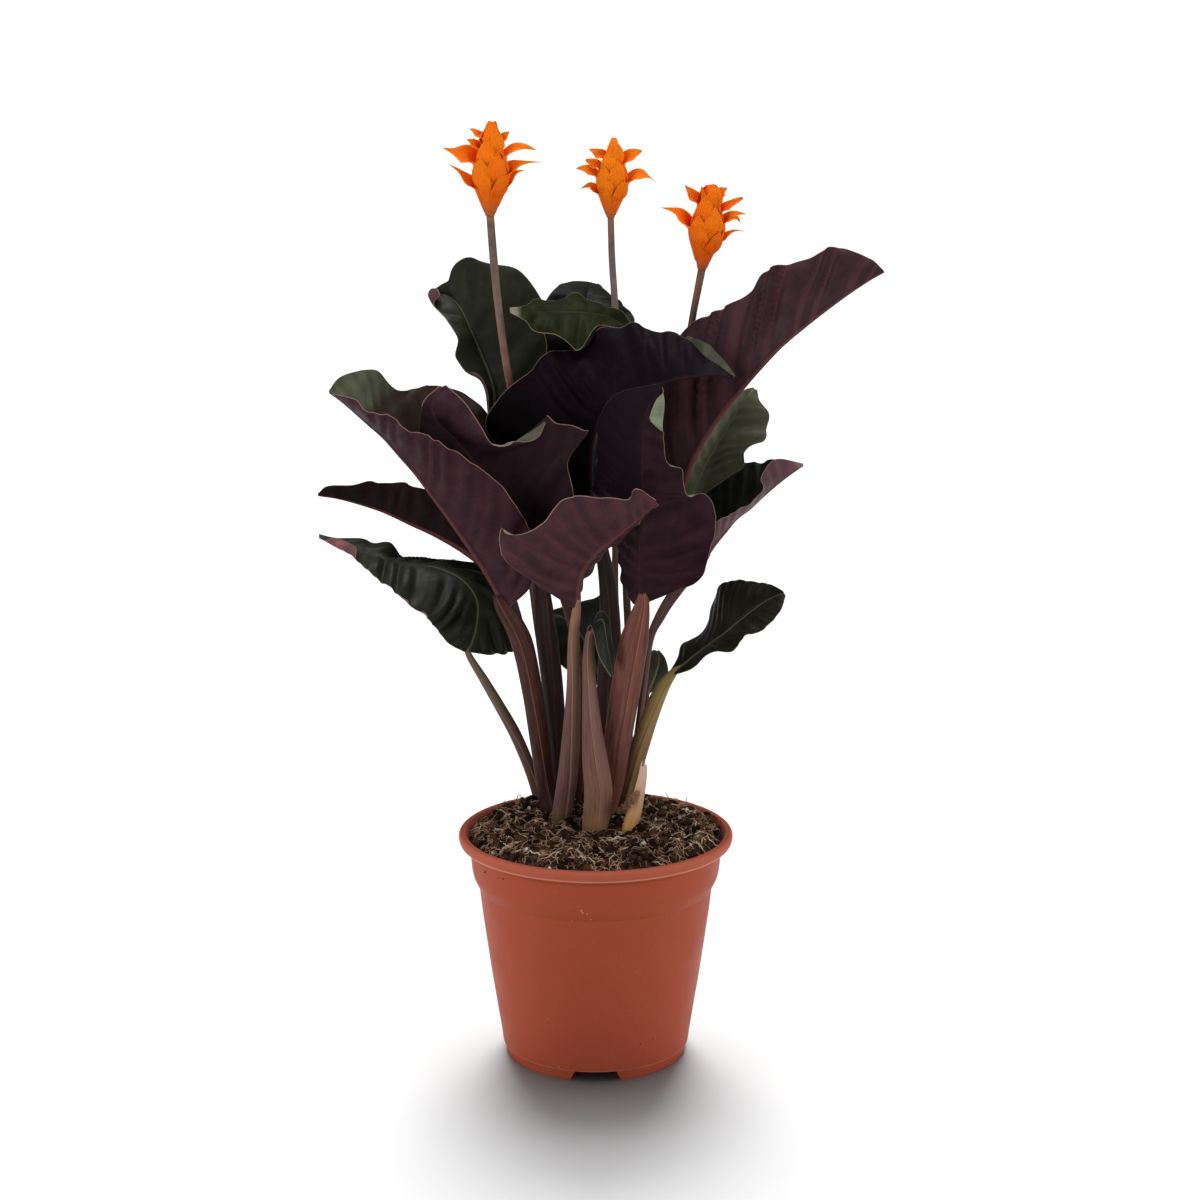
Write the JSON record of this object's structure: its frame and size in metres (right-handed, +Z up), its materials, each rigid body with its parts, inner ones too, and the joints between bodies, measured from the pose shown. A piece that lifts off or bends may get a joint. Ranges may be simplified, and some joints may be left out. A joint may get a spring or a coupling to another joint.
{
  "type": "potted eternal flame calathea",
  "caption": "Flowering prayer plant with folded dark leaves, purple beneath, and flame-orange bract heads on bare stalks, growing in a round terracotta-coloured nursery pot.",
  "frame": {"origin": "middle of the pot's base, on the plane that the pot stands on", "axes": "+Z up along the pot's axis, +X to the viewer's right when the front of the plant is seen, +Y to the back"},
  "size_m": [0.2879, 0.1771, 0.4696],
  "materials": {
    "pot": "thin moulded polypropylene in a terracotta colour, smooth, with a soft satin sheen and a few pale scuffs",
    "soil": "moist peat and coir mix, crumbly and matt, with fibres, pale roots and perlite grains",
    "leaf": "living leaf, satin dark green above, purple to reddish brown beneath, with a thin pale margin and slanting side veins",
    "stem": "sheathing leaf stalks, reddish purple to tan green, satin with fine lengthwise lines",
    "flower_stalk": "slender stalks, green brown with a reddish flush, softly downy",
    "bract": "crisp orange flower bracts, satin, duller orange brown where they leave the stalk",
    "dry_sheath": "dry papery sheath, straw coloured and torn at the edges"
  },
  "bodies": {
    "root": {"nursery_pot": "pot", "potting_soil": "soil", "dry_sheath_stub": "dry_sheath", "leaf_stalk_upper_left": "stem", "leaf_blade_upper_left": "leaf", "leaf_stalk_top_back": "stem", "leaf_blade_top_back": "leaf", "leaf_stalk_top_centre": "stem", "leaf_blade_top_centre": "leaf", "leaf_stalk_crest": "stem", "leaf_blade_crest": "leaf", "leaf_stalk_front_left": "stem", "leaf_blade_front_left": "leaf", "leaf_stalk_inner_left": "stem", "leaf_blade_inner_left": "leaf", "leaf_stalk_front_right": "stem", "leaf_blade_front_right": "leaf", "leaf_stalk_front_low": "stem", "leaf_blade_front_low": "leaf", "leaf_stalk_low_left": "stem", "leaf_blade_low_left": "leaf", "leaf_stalk_mid_left": "stem", "leaf_blade_mid_left": "leaf", "leaf_stalk_upper_right": "stem", "leaf_blade_upper_right": "leaf", "leaf_stalk_mid_right": "stem", "leaf_blade_mid_right": "leaf", "leaf_stalk_side_right": "stem", "leaf_blade_side_right": "leaf", "leaf_stalk_low_right": "stem", "leaf_blade_low_right": "leaf", "leaf_stalk_low_back": "stem", "leaf_blade_low_back": "leaf", "leaf_stalk_young_front": "stem", "leaf_blade_young_front": "leaf", "leaf_stalk_young_right": "stem", "leaf_blade_young_right": "leaf", "flower_stalk_left": "flower_stalk", "flower_spike_left": "bract", "flower_bract_left_1": "bract", "flower_bract_left_2": "bract", "flower_bract_left_3": "bract", "flower_bract_left_4": "bract", "flower_bract_left_5": "bract", "flower_stalk_centre": "flower_stalk", "flower_spike_centre": "bract", "flower_bract_centre_1": "bract", "flower_bract_centre_2": "bract", "flower_bract_centre_3": "bract", "flower_bract_centre_4": "bract", "flower_bract_centre_5": "bract", "flower_stalk_right": "flower_stalk", "flower_spike_right": "bract", "flower_bract_right_1": "bract", "flower_bract_right_2": "bract", "flower_bract_right_3": "bract", "flower_bract_right_4": "bract", "flower_bract_right_5": "bract"}
  },
  "joints": []
}
